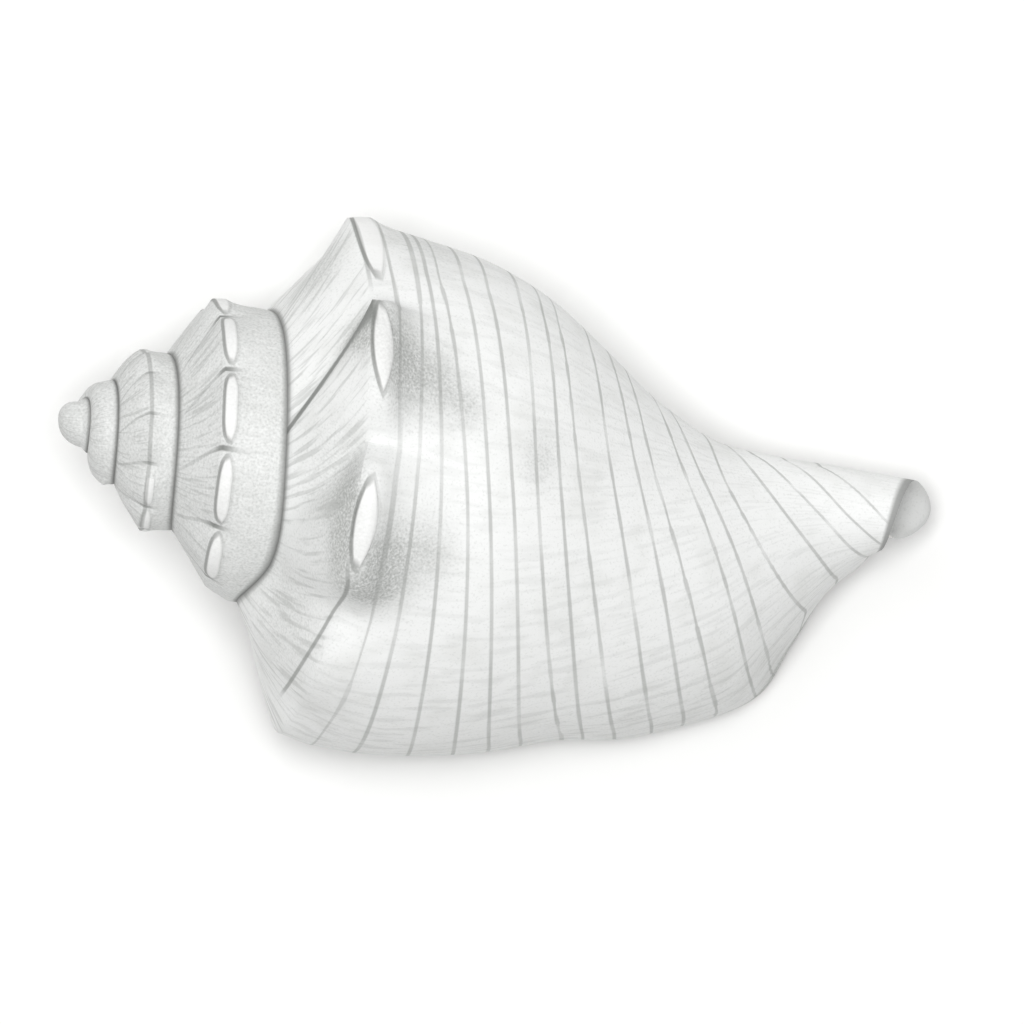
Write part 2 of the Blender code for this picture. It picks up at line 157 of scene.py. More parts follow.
@dataclass(frozen=True)
class GrowthLaw:
    """The plain whorls' shape, in mm: how the section across the whorl changes with the stage."""

    lip_stage: float = 28.0
    turns: int = 5
    attach: Pairs = ((-1772, 2.0), (-600, 2.0), (-540, 2.05), (-450, 2.45), (-402, 2.6), (-366, 2.05),
                     (-332, 2.0), (28, 2.0))
    free_line: float = 2.0
    corner_gap: float = 0.3
    body: dict[float, tuple[tuple[float, float], ...]] = field(
        default_factory=lambda: {
            -720: ((23.1, 22.0), (26.6, 22.2), (30.0, 21.8), (36, 19.5), (44, 14.5), (56, 10.5), (74, 8.5),
                   (100, 7.6), (132, 7.2), (166, 6.6), (197, 6.0)),
            -540: ((30.5, 30.0), (37.0, 31.0), (43.4, 31.3), (52, 28.5), (62, 22), (75, 14.5), (93, 9.8),
                   (116, 8.2), (144, 7.4), (170, 6.7), (194, 6.2)),
            -450: ((35.1, 31.6), (40.4, 33.0), (45.4, 33.5), (55.5, 30.5), (66.5, 24.0), (79.5, 16.5),
                   (97, 11.1), (119.5, 8.6), (145, 7.4), (168.5, 6.7), (189.5, 6.2)),
            -360: ((39.7, 33.2), (43.7, 35.0), (47.4, 35.6), (59, 32.5), (71, 26), (84, 18.5), (101, 12.4),
                   (123, 9.0), (149, 7.5), (172, 6.9), (196.5, 6.8)),
            -270: ((49, 41.0), (56.5, 43.0), (65, 42.6), (76.5, 39.6), (88.5, 33.5), (101.5, 25.0),
                   (117, 16.0), (136, 10.2), (157, 7.8), (178, 7.2), (204.6, 7.0)),
            -180: ((58.5, 50.8), (70, 53.2), (82, 52.6), (94, 49.8), (106.5, 43.4), (119.5, 32.8),
                   (133, 20.8), (149, 10.8), (165, 7.6), (180, 7.4), (199.0, 7.2)),
            -90: ((66.2, 49.4), (77, 50.9), (89.5, 50.1), (101, 47.6), (113, 42.6), (127.5, 34.0),
                  (143.5, 23.5), (157.5, 14.6), (171, 10.4), (182, 9.2), (194.5, 8.8)),
            0: ((63.8, 61.0), (81.0, 64.5), (99.0, 62.6), (111.5, 60.2), (125.5, 57.6), (143, 56.0),
                (163, 48.5), (172, 36.5), (182.0, 21.5), (187.5, 15.0), (193.4, 10.2)),
            28: ((62.2, 66.8), (83.5, 74.0), (102.7, 73.0), (115.3, 70.7), (130, 66.8), (149, 66.2),
                 (172.5, 56.0), (179.3, 39.5), (185.0, 26.2), (190.6, 18.7), (193.6, 10.5)),
        }
    )
    spire: dict[float, tuple[tuple[float, float], tuple[float, float]]] = field(
        default_factory=lambda: {
            -1620: ((3.8, 3.4), (5.4, 4.6)),
            -1440: ((6.4, 6.6), (8.0, 7.6)),
            -1260: ((8.6, 9.0), (11.0, 9.6)),
            -1080: ((12.6, 13.2), (15.2, 13.6)),
            -900: ((16.4, 16.8), (22.6, 17.6)),
        }
    )
    side_bulge: float = 0.02
    hidden_step: float = 0.25
    hidden_shrink: float = 0.85
    ramp_bow: Pairs = ((-1772, 0.22), (-1260, 0.2), (-900, 0.1), (-540, 0.0), (28, 0.01))

    @property
    def start_stage(self) -> float:
        """The stage of the apex."""
        return self.lip_stage - self.turns * TURN

    def tables(self) -> tuple[Array, Array]:
        """Gather all sections in one array; the hidden lines of the spire shrink towards the axis.

        Returns:
            The stages, and (along, radius) for each stage and line.
        """
        stages, rows = [self.start_stage], [[(0.0, 0.0)] * (LAST_LINE + 1)]
        for stage, (shoulder, attach) in sorted(self.spire.items()):
            bulge = self.side_bulge * attach[1]
            middle = ((shoulder[0] + attach[0]) / 2, (shoulder[1] + attach[1]) / 2 + bulge)
            hidden = [
                (attach[0] + self.hidden_step * attach[1] * k, attach[1] * self.hidden_shrink**k)
                for k in range(1, LAST_LINE - 1)
            ]
            stages.append(stage)
            rows.append([shoulder, middle, attach] + hidden)
        for stage, section in sorted(self.body.items()):
            stages.append(stage)
            rows.append(list(section))
        return np.array(stages, float), np.array(rows, float)

    def base(self, stage: Array | float, line: Array | float) -> Array:
        """Read (along, radius) of the plain whorl from smooth curves over stage and line.

        Args:
            stage: Growth angle.
            line: Place across the whorl, from 0 at the shoulder to 10 at the canal's end.

        Returns:
            (along, radius) for each pair.
        """
        stage, line = np.broadcast_arrays(np.asarray(stage, float), np.asarray(line, float))
        stages, sections = self.tables()
        stage_index, stage_weights = curve_weights(stages, stage)
        line_index, line_weights = curve_weights(np.arange(LAST_LINE + 1.0), line)
        return sum(
            sections[si, li] * (sw * lw)[..., None]
            for si, sw in zip(stage_index, stage_weights)
            for li, lw in zip(line_index, line_weights)
        )

    def attach_line(self, stage: Array) -> Array:
        """Read the line where the next whorl attaches, which dips and climbs back to the lip."""
        return smooth_list(self.attach, stage)

    def corner_line(self, stage: Array) -> Array:
        """Read the line of the hollow's inner corner, just below the suture."""
        return self.attach_line(stage) + self.corner_gap

    def ramp(self, stage: Array | float, share: Array | float) -> Array:
        """Read (along, radius) on the ramp: a straight line from suture to shoulder with a parabolic bow.

        Args:
            stage: Growth angle.
            share: 0 at the suture and 1 at the shoulder.

        Returns:
            (along, radius) for each pair.
        """
        stage, share = np.broadcast_arrays(np.asarray(stage, float), np.asarray(share, float))
        suture = self.base(stage - TURN, self.attach_line(stage - TURN))
        across = self.base(stage, 0.0) - suture
        normal = np.stack([-across[..., 1], across[..., 0]], axis=-1)
        bow = smooth_list(self.ramp_bow, stage)
        return suture + across * share[..., None] + normal * (4 * bow * share * (1 - share))[..., None]


@dataclass(frozen=True)
class Knobs:
    """Knobs along the shoulder of the last whorl, and the smaller ones along the spire.

    Each knob of the last whorl is (stage, height in mm, half of its level crest, older side, newer side), the
    last three in degrees. The crest narrows to a fold that slants down the ramp to the suture.
    """

    last_whorl: tuple[tuple[float, ...], ...] = (
        (-323, 2.0, 0, 16, 25),
        (-282, 6.6, 0, 16, 25),
        (-241, 7.6, 0, 16, 25),
        (-176, 4.6, 0, 16, 25),
        (-118.5, 9.4, 9.5, 10, 17),
        (-78, 9.4, 10, 12, 18),
        (-36, 3.2, 0, 16, 25),
        (5, 2.0, 0, 16, 25),
    )
    slant: float = 22.0
    ramp_fall: float = 1.15
    spire_last: float = -397.0
    spire_spacing: float = 34.0
    spire_count: int = 21
    spire_share: float = 0.065
    spire_half_width: float = 17.0
    spire_slant: float = 12.0
    slant_turns: tuple[float, float] = (-380.0, -330.0)
    flat: float = 0.4
    fall: float = 0.42
    free: float = 1.2
    lean: float = -0.22

    def height(self, stage: Array, crest: Array, growth: GrowthLaw) -> Array:
        """Work out how far the knobs stand out: level along the crest, then a squared cosine on each side.

        Args:
            stage: Growth angle.
            crest: How much of the level crest is left, from 0 at the suture to 1 on the shoulder.
            growth: The whorls' shape, because a spire knob grows with its whorl.

        Returns:
            The height in mm.
        """
        stage, crest = np.broadcast_arrays(stage, crest)
        height = np.zeros(stage.shape)
        for at, tall, level, older, newer in self.last_whorl:
            side = np.where(stage < at, older, newer)
            s = np.clip((np.abs(stage - at) - level * crest) / side, 0, 1)
            height = np.maximum(height, tall * np.cos(s * math.pi / 2) ** 2)
        for k in range(self.spire_count):
            at = self.spire_last - self.spire_spacing * k
            tall = self.spire_share * float(growth.base(at, 0.0)[1])
            s = np.clip(np.abs(stage - at) / self.spire_half_width, 0, 1)
            height = np.maximum(height, tall * np.cos(s * math.pi / 2))
        return height

    def turn(self, stage: Array) -> Array:
        """Read how many degrees the folds slant between shoulder and suture."""
        return self.spire_slant + (self.slant - self.spire_slant) * smoothstep(*self.slant_turns, stage)

    def push(
        self, point: Array, stage: Array, share: Array, crest: Array | float, growth: GrowthLaw
    ) -> Array:
        """Move skin points out by the knobs.

        Args:
            point: (along, radius) of the plain whorl.
            stage: Growth angle.
            share: 1 on the shoulder, falling to 0 away from it.
            crest: 1 on the shoulder and below it, falling to 0 up the ramp at the suture.
            growth: The whorls' shape.

        Returns:
            (along, radius) with the knobs.
        """
        height = self.height(stage - self.turn(stage) * (1 - crest), crest, growth) * share
        return point + np.stack([self.lean * height, height], axis=-1)


@dataclass(frozen=True)
class RestPose:
    """How the shell lies: bent, turned round its axis, then pitched and rolled onto the ground."""

    pitch_deg: float = 7.4
    roll_deg: float = -0.5
    rest_point: tuple[float, float, float] = (46.8, 6.5, -45.1)
    middle: tuple[float, float] = (60.32, 1.07)
    lip_reach: tuple[float, ...] = (-2, 3.4, 3.4, 1.5, 0, -1, -2, -2, 6, 8, 4)
    lip_reach_from: float = -60.0
    canal_bend: tuple[float, float] = (90.0, 175.0)
    canal_lean: tuple[float, float] = (-10.5, -3.0)

    def own(self, point: Array, stage: Array, line: Array | float, reach_share: Array | float = 1.0) -> Array:
        """Turn (along, radius) round the axis by the stage, and bend the canal away from the lip.

        Args:
            point: (along, radius).
            stage: Growth angle.
            line: Place across the whorl, which says how far the lip's edge reaches down.
            reach_share: 0 where the lip's reach has no hold, along the suture.

        Returns:
            (along, lip side, back) in mm.
        """
        along, radius = point[..., 0], point[..., 1]
        reach = smooth_list(tuple(enumerate(self.lip_reach)), line) * reach_share
        angle = -np.radians(stage + reach * smoothstep(self.lip_reach_from, 28.0, stage))
        bend = smoothstep(*self.canal_bend, along)
        side = self.canal_lean[0] * bend + radius * np.cos(angle)
        return np.stack([along, side, self.canal_lean[1] * bend + radius * np.sin(angle)], axis=-1)

    def world(self, points: Array) -> Array:
        """Pitch and roll points onto the ground, and wear flat what would be below it.

        Args:
            points: (along, lip side, back) in mm.

        Returns:
            World coordinates in metres.
        """
        along, lip, back = (points - np.array(self.rest_point)).T
        roll, pitch = math.radians(self.roll_deg), math.radians(self.pitch_deg)
        side = lip * math.cos(roll) - back * math.sin(roll)
        up = lip * math.sin(roll) + back * math.cos(roll)
        x = along * math.cos(pitch) + up * math.sin(pitch) - self.middle[0]
        z = up * math.cos(pitch) - along * math.sin(pitch)
        return np.stack([x, -side - self.middle[1], np.maximum(z, 0.0)], axis=1) * MM


class Surface:
    """A mesh in the making: grids of points, with values at each point that its faces' corners carry."""

    def __init__(self, names: tuple[str, ...]) -> None:
        """Start empty.

        Args:
            names: The names of the values that each point has besides its place.
        """
        self.names = names
        self.points: list[Array] = []
        self.values: list[Array] = []
        self.faces: list[Array] = []
        self.finishes: list[Array] = []
        self.count = 0

    def add(self, points: Array, values: dict[str, Array]) -> Array:
        """Add points.

        Args:
            points: Any array of points.
            values: The named values, each of a shape that fits the points' grid.

        Returns:
            The points' indices, in the shape of the grid.
        """
        shape = points.shape[:-1]
        index = np.arange(self.count, self.count + math.prod(shape)).reshape(shape)
        columns = [np.broadcast_to(values.get(name, 0.0), shape).reshape(-1) for name in self.names]
        self.points.append(points.reshape(-1, 3))
        self.values.append(np.stack(columns, axis=1))
        self.count += index.size
        return index

    def join(self, index: Array, finish: Finish, flip: bool = False) -> None:
        """Add the quads between neighbouring rows and columns of an index grid.

        Args:
            index: The grid of indices.
            finish: The faces' finish.
            flip: Whether the faces point the other way.
        """
        corners = [index[:-1, :-1], index[:-1, 1:], index[1:, 1:], index[1:, :-1]]
        quads = np.stack(corners, axis=-1).reshape(-1, 4)
        self.faces.append(quads[:, ::-1] if flip else quads)
        self.finishes.append(np.full(len(quads), int(finish)))

    def object(self, name: str, pose: RestPose) -> bpy.types.Object:
        """Make the mesh object, with each value as an attribute of the face corners.

        Args:
            name: The object's name.
            pose: How the shell lies.

        Returns:
            The object, linked to the scene.
        """
        quads = np.concatenate(self.faces)
        values = np.concatenate(self.values)
        mesh = bpy.data.meshes.new(name)
        mesh.from_pydata(pose.world(np.concatenate(self.points)), [], quads)
        mesh.polygons.foreach_set("material_index", np.concatenate(self.finishes))
        corners = values[quads.reshape(-1)]
        for column, label in enumerate(self.names):
            layer = mesh.attributes.new(label, "FLOAT", "CORNER")
            layer.data.foreach_set("value", np.ascontiguousarray(corners[:, column], dtype=np.float32))
        bm = bmesh.new()
        bm.from_mesh(mesh)
        bmesh.ops.remove_doubles(bm, verts=bm.verts, dist=1e-6)
        bmesh.ops.dissolve_degenerate(bm, edges=bm.edges, dist=1e-7)
        bmesh.ops.recalc_face_normals(bm, faces=bm.faces)
        bm.to_mesh(mesh)
        bm.free()
        mesh.polygons.foreach_set("use_smooth", np.ones(len(mesh.polygons), dtype=bool))
        obj = bpy.data.objects.new(name, mesh)
        bpy.context.scene.collection.objects.link(obj)
        return obj


@dataclass(frozen=True)
class Wall:
    """The thickness of the shell in mm, and how far the hollow goes in, by line."""

    body: float = 3.2
    lip: float = 2.6
    canal: float = 2.2
    shoulder_extra: float = 1.2
    lip_from: float = -60.0
    canal_lines: tuple[float, float] = (6.0, 8.5)
    ramp_before: float = 0.3
    ramp_middle: float = 0.55
    closing_from: float = 0.75
    hollow_end: Pairs = ((0, -332), (4, -332), (5, -300), (6, -235), (7, -160), (8, -110), (9, -92),
                         (10, -92))

    def controls(self, stage: Array, growth: GrowthLaw) -> Array:
        """Offset the plain whorl inwards along its normals: the suture's corner, the ramp, then each line.

        Args:
            stage: Growth angle.
            growth: The whorls' shape.

        Returns:
            Control points of the hollow's outer wall, first index along the section.
        """
        plain = [growth.ramp(stage, self.ramp_middle)]
        plain += [growth.base(stage, line) for line in range(LAST_LINE + 1)]
        wall = self.body + (self.lip - self.body) * smoothstep(self.lip_from, growth.lip_stage, stage)
        controls = [growth.base(stage - TURN, growth.corner_line(stage - TURN))]
        for k, point in enumerate(plain):
            before = plain[k - 1] if k else growth.ramp(stage, self.ramp_before)
            after = plain[k + 1] if k + 1 < len(plain) else point + (point - before)
            along = after - before
            normal = np.stack([along[..., 1], -along[..., 0]], axis=-1)
            normal = normal / np.linalg.norm(along, axis=-1)[..., None]
            share = float(smoothstep(*self.canal_lines, np.array(k - 1.0)))
            thick = wall + (self.canal - wall) * share + (self.shoulder_extra if k == 1 else 0.0)
            controls.append(point + normal * thick[..., None])
        return np.stack(controls, axis=0)

    def inside(self, stage: Array, knots: Array, growth: GrowthLaw) -> Array:
        """Read the hollow's outer wall from a smooth curve over the control points.

        Args:
            stage: Growth angle, as rows of the grid.
            knots: Each row's place along the control points.
            growth: The whorls' shape.

        Returns:
            (along, radius) for the grid.
        """
        out = np.empty(stage.shape + (2,))
        for row, knot in enumerate(knots):
            controls = self.controls(stage[row], growth)
            index, weights = curve_weights(np.arange(len(controls), dtype=float), np.array(float(knot)))
            out[row] = sum(controls[int(i)] * float(w) for i, w in zip(index, weights))
        return out


@dataclass(frozen=True)
class Markings:
    """Where the spiral lines, shaded creases, worn and highlighted lenses, and stains and shade are, by
    stage, by line, and across in mm.

    Across is how far a place is from the shoulder along the whorl: less than 0 on the ramp, more below it.
    For the stains and shade the ramp has lines too, less than 0, each ramp_line mm wide. A pair of stages,
    lines or shares says where something starts to change and where it has changed in full. The shade in the
    creases, folds and notches and beside the knobs is painted shade, and the paler worn lenses carry a
    painted highlight too.
    """

    last_whorl: tuple[float, float] = (-345.0, -325.0)
    first_line: tuple[float, float] = (0.2, 0.45)
    line_stages: tuple[float, ...] = (-150.0, -80.0, 0.0, 28.0)
    lines: tuple[tuple[float, ...], ...] = (
        (0.5, 0.7, 0.45, 0.45), (0.98, 1.08, 1.0, 1.0), (1.17, 1.55, 1.65, 1.65), (1.38, 2.05, 2.3, 2.3),
        (1.88, 2.5, 2.95, 2.95), (2.37, 3.0, 3.47, 3.47), (3.05, 3.5, 4.08, 4.08), (3.52, 3.96, 4.36, 4.36),
        (3.82, 4.32, 4.76, 4.74), (4.5, 4.88, 5.2, 5.12), (4.97, 5.3, 5.52, 5.36), (5.3, 5.56, 5.86, 5.63),
        (5.85, 6.08, 6.46, 6.14), (6.15, 6.36, 6.9, 6.5), (6.72, 6.75, 7.62, 7.25), (7.15, 7.48, 8.4, 8.2),
        (7.5, 8.12, 9.6, 9.32), (8.05, 8.85, 10.4, 9.9), (8.65, 9.65, 11.2, 10.8),
    )
    margin: float = 0.5
    faint: tuple[tuple[float, float, float, float, float], ...] = (
        (-97, 1.0, 11, 1.0, 0.6),
        (-38, 0.35, 40, 0.35, 0.5),
    )
    ramp_line: float = 12.0
    # Spots of painted shade beside the knobs and on the ramps.
    painted_shade_spots: tuple[tuple[float, float, float, float, float], ...] = (
        (-117, 0.58, 12, 0.5, 1.1),
        (-115, 1.35, 9, 0.55, 0.65),
        (-110, 1.95, 6, 0.4, 0.5),
        (-125, -0.25, 7, 0.4, 1.8),
        (-77, -0.2, 13, 0.35, 1.5),
        (-69, 0.65, 9, 0.4, 1.1),
        (-62, 0.5, 5, 0.5, 1.0),
        (-72, 1.35, 9, 0.5, 0.6),
        (-100, 3.45, 8, 0.4, 0.5),
        (-165, 1.3, 10, 0.9, 0.4),
        (-165, -1.0, 12, 0.7, 0.6),
        (-34, -1.3, 22, 1.2, 0.5),
        (-80, -0.9, 22, 0.7, 0.45),
    )
    edge_band: tuple[float, float] = (19.0, 26.0)
    lip_grey: float = 0.2
    lip_grey_stages: tuple[float, float] = (-42.0, 8.0)
    lip_grey_lines: tuple[float, float] = (-0.2, 0.6)
    lip_grey_fades: tuple[float, float] = (6.5, 8.5)
    old_grey: float = 0.05
    old_grey_fades: tuple[float, float] = (-800.0, -700.0)
    spire_grey: float = 0.5
    spire_grey_fades: tuple[float, float] = (-370.0, -335.0)
    # The worn knob crests, painted paler as wear and as a highlight.
    lenses: tuple[tuple[float, float, float, float, float], ...] = (
        (-165, 2.6, 20, 2.8, 0.0),
        (-118.5, 2.5, 12, 2.5, 0.06),
        (-78, 2.6, 11.5, 2.7, 0.0),
    )
    spire_lens: tuple[float, float, float] = (0.05, 0.45, 0.055)
    lens_powers: tuple[int, int] = (2, 4)
    lens_reach: float = 4.0
    # The lens's edge is darkened with painted shade, more on the ramp's side than below the shoulder.
    lens_edge: tuple[float, float] = (0.55, 0.45)
    lens_edge_mm: float = 1.5
    lens_whorls: tuple[float, float] = (-780.0, -700.0)
    # Painted shade in the fold beside the great middle knob, and in the spire's notches and creases.
    fold_from: float = -350.0
    fold_stage: float = -128.5
    fold_slants: tuple[float, float] = (29.5, 22.0)
    fold_bend: float = 1.45
    fold_reach: float = 8.0
    fold_width: tuple[float, float] = (0.85, 0.22)
    notch_mm: tuple[float, float] = (1.2, 2.8)
    notch_dark: tuple[float, float] = (0.35, 1.0)
    notch_growth: tuple[float, float] = (-1080.0, -500.0)
    notch_from: tuple[float, float] = (-1100.0, -1050.0)
    crease_dark: float = 0.3
    crease_shares: tuple[float, float] = (0.0, 0.2)
    keel_whorls: tuple[tuple[float, float, float], ...] = (
        (-172, -145, 0.55),
        (-68, -8, 0.85),
        (-1000, -730, 0.6),
    )
    keel_fade: float = 6.0
    keel_places: Pairs = ((-172, 0.3), (-70, 0.5), (-62, 1.4), (-47, -2), (-33, -5), (-20, -6), (28, -6))
    keel_reach: float = 9.0
    canal_edge: tuple[float, float] = (9.84, 9.93)
    canal_dark: float = 0.8
    seam_dark: float = 0.9
    seam_mm: tuple[float, float] = (0.9, 0.7)
    seam_gone_mm: float = 99.0
    seam_size: tuple[float, float] = (0.25, 1.0)
    seam_growth: tuple[float, float] = (-1500.0, -300.0)
    growth_deg: float = 2.2
    growth_mm: float = 12.0
    # Growth-line strength everywhere, extra on the ramp as painted shade, and extra towards the lip.
    hatch: tuple[float, float, float] = (0.22, 0.6, 0.3)
    hatch_lip: tuple[float, float] = (-60.0, 10.0)

    def spiral(self, stage: Array, line: Array) -> tuple[Array, Array]:
        """Number the spiral lines: whole numbers lie on a line, straight in between.

        Args:
            stage: Growth angle.
            line: Place across the whorl.

        Returns:
            The number, and how many lines of the grid one number spans.
        """
        places = [smooth_list(tuple(zip(self.line_stages, row)), stage) for row in self.lines]
        before = np.clip((line - places[0]) / self.margin, -1, 0)
        after = np.clip((line - places[-1]) / self.margin, 0, 1)
        number = (before + after) / 2
        span = np.full(number.shape, 2 * self.margin)
        for near, far in zip(places, places[1:]):
            number = number + np.clip((line - near) / (far - near), 0, 1)
            span = np.where((line >= near) & (line < far), far - near, span)
        return number, span

    def spots(self, table: tuple[tuple[float, ...], ...], stage: Array, line: Array) -> Array:
        """Sum soft round spots, each a Gaussian along and across the whorl.

        Args:
            table: (stage, line, how long, how wide, strength) of each spot.
            stage: Growth angle.
            line: Place across the whorl.

        Returns:
            The sum of the strengths.
        """
        total = np.zeros(np.broadcast(stage, line).shape)
        for at, across, long, wide, strength in table:
            total = total + strength * np.exp(-(((stage - at) / long) ** 2) - ((line - across) / wide) ** 2)
        return total

    def banding(self, stage: Array, line: Array) -> Array:
        """Say how strong the spiral lines are: only on the last whorl, and faint where it is worn.

        Args:
            stage: Growth angle.
            line: Place across the whorl; on the ramp, less than 0.

        Returns:
            The strength, from 0 to 1.
        """
        last = smoothstep(*self.last_whorl, stage) * (1 - smoothstep(*self.canal_edge, line))
        worn = np.clip(self.spots(self.faint, stage, line), 0, 1)
        return last * smoothstep(*self.first_line, line) * (1 - worn)

    def stain(self, stage: Array, line: Array) -> Array:
        """Sum the painted shade beside the knobs and on the ramps, the grey behind the lip and on its edge,
        and the greyer spire.

        Args:
            stage: Growth angle.
            line: Place across the whorl; on the ramp, less than 0.

        Returns:
            The strength of the stain and painted shade, from 0 to 1.
        """
        band = smoothstep(*self.lip_grey_stages, stage) * smoothstep(*self.lip_grey_lines, line)
        band = self.lip_grey * band * (1 - smoothstep(*self.lip_grey_fades, line))
        old = self.old_grey * (1 - smoothstep(*self.old_grey_fades, stage))
        spire = self.spire_grey * (1 - smoothstep(*self.spire_grey_fades, stage))
        edge = smoothstep(*self.edge_band, stage)
        return np.clip(band + old + spire + edge + self.spots(self.painted_shade_spots, stage, line), 0, 1)

    def lens(self, stage: Array, across: Array, knobs: Knobs, growth: GrowthLaw) -> tuple[Array, Array]:
        """Measure how far inside a worn, highlighted lens a place is: the lens's half-width there, less the
        way across.

        The half-width is the lens's greatest one times 1 - s^n, where s is the share of the way to its tip.
        The power n is lower for the pointed lenses of the last whorl than for the blunter ones of the spire.

        Args:
            stage: Growth angle.
            across: Place across the shoulder in mm.
            knobs: The knobs, whose crests are worn and painted paler as a highlight.
            growth: The whorls' shape.

        Returns:
            The distance in mm, less than 0 outside, and how dark the painted shade on the lens's edge is,
            darker on the ramp's side.
        """
        pointed, blunt = self.lens_powers
        table = [
            (at, mid, math.radians(half), wide, tilt, pointed) for at, mid, half, wide, tilt in self.lenses
        ]
        middle, long, wide = self.spire_lens
        for k in range(knobs.spire_count):
            at = knobs.spire_last - knobs.spire_spacing * k
            radius = float(growth.base(at, 0.0)[1])
            half = math.radians(knobs.spire_spacing) * long
            table.append((at, middle * radius, half, wide * radius, 0.0, blunt))
        inside = np.full(np.broadcast(stage, across).shape, -self.lens_reach)
        edge = np.zeros(inside.shape)
        for at, mid, half, wide, tilt, power in table:
            turn = np.radians(stage - at)
            aside = across - mid - tilt * turn * float(growth.base(at, 0.0)[1])
            depth = wide * (1 - np.clip(np.abs(turn) / half, 0, 2) ** power) - np.abs(aside)
            # Painted shade along the lens's edge, darkest on the ramp's side.
            dark = self.lens_edge[0] - self.lens_edge[1] * np.tanh(aside / self.lens_edge_mm)
            edge = np.where(depth > inside, dark, edge)
            inside = np.maximum(inside, depth)
        shown = smoothstep(*self.lens_whorls, stage)
        return np.clip(np.where(shown > 0, inside, -self.lens_reach), None, self.lens_reach), edge * shown

    def fold(self, stage: Array, share: Array, across: Array, knobs: Knobs) -> tuple[Array, Array]:
        """Number the folds between the knobs, whole on a fold's crease, and say how dark the painted shade in
        each is.

        On the last whorl only the fold on the older side of the great middle knob shows, from suture to
        shoulder. On the spire a notch parts the knobs on the keel, halfway between each two, and a faint
        crease runs from it up the ramp. Each is darkened with painted shade.

        Args:
            stage: Growth angle.
            share: 0 at the suture, 1 on the shoulder and below it.
            across: Place across the shoulder in mm.
            knobs: The knobs, which say where the notches are.

        Returns:
            The number and the strength of the painted shade.
        """
        last = stage > self.fold_from
        slanted = stage - np.where(last, *self.fold_slants) * (1 - share) ** self.fold_bend
        wide = np.where(last, self.fold_width[0] + (self.fold_width[1] - self.fold_width[0]) * share, 1.0)
        first = np.where(last, self.fold_stage, knobs.spire_last)
        number = (slanted - first) / knobs.spire_spacing * wide + np.where(last, 0.0, 0.5)
        great = np.exp(-(((slanted - self.fold_stage) / self.fold_reach) ** 2)) * (across <= 0.0)
        size = smoothstep(*self.notch_growth, stage)
        reach = self.notch_mm[0] + (self.notch_mm[1] - self.notch_mm[0]) * size
        dark = self.notch_dark[0] + (self.notch_dark[1] - self.notch_dark[0]) * size
        notch = dark * np.exp(-((across / reach) ** 2))
        # A faint line of painted shade up the spire's ramp.
        crease = self.crease_dark * smoothstep(*self.crease_shares, share) * (across < 0)
        return number, np.where(last, great, np.maximum(notch, crease) * smoothstep(*self.notch_from, stage))

    def keel(self, stage: Array, across: Array) -> tuple[Array, Array]:
        """Measure how far a place is from the line along the keel, and say how dark the line is.

        Args:
            stage: Growth angle.
            across: Place across the shoulder in mm.

        Returns:
            The distance in mm and the strength.
        """
        total = np.zeros(stage.shape)
        fade = self.keel_fade
        for start, end, strength in self.keel_whorls:
            rise = smoothstep(start - fade, start + fade, stage)
            total = total + strength * rise * (1 - smoothstep(end - fade, end + fade, stage))
        apart = across - smooth_list(self.keel_places, stage)
        return np.clip(apart, -self.keel_reach, self.keel_reach), total


def node(tree: bpy.types.NodeTree, kind: str, links: dict | None = None, **settings) -> bpy.types.Node:
    """Add a node with its settings and links.

    Args:
        tree: The node tree.
        kind: The node's type name.
        links: Input name or number to a socket to link, or a value to set.
        settings: The node's own properties.

    Returns:
        The node.
    """
    made = tree.nodes.new(kind)
    for name, value in settings.items():
        setattr(made, name, value)
    for key, value in (links or {}).items():
        if isinstance(value, bpy.types.NodeSocket):
            tree.links.new(value, made.inputs[key])
        else:
            made.inputs[key].default_value = value
    return made


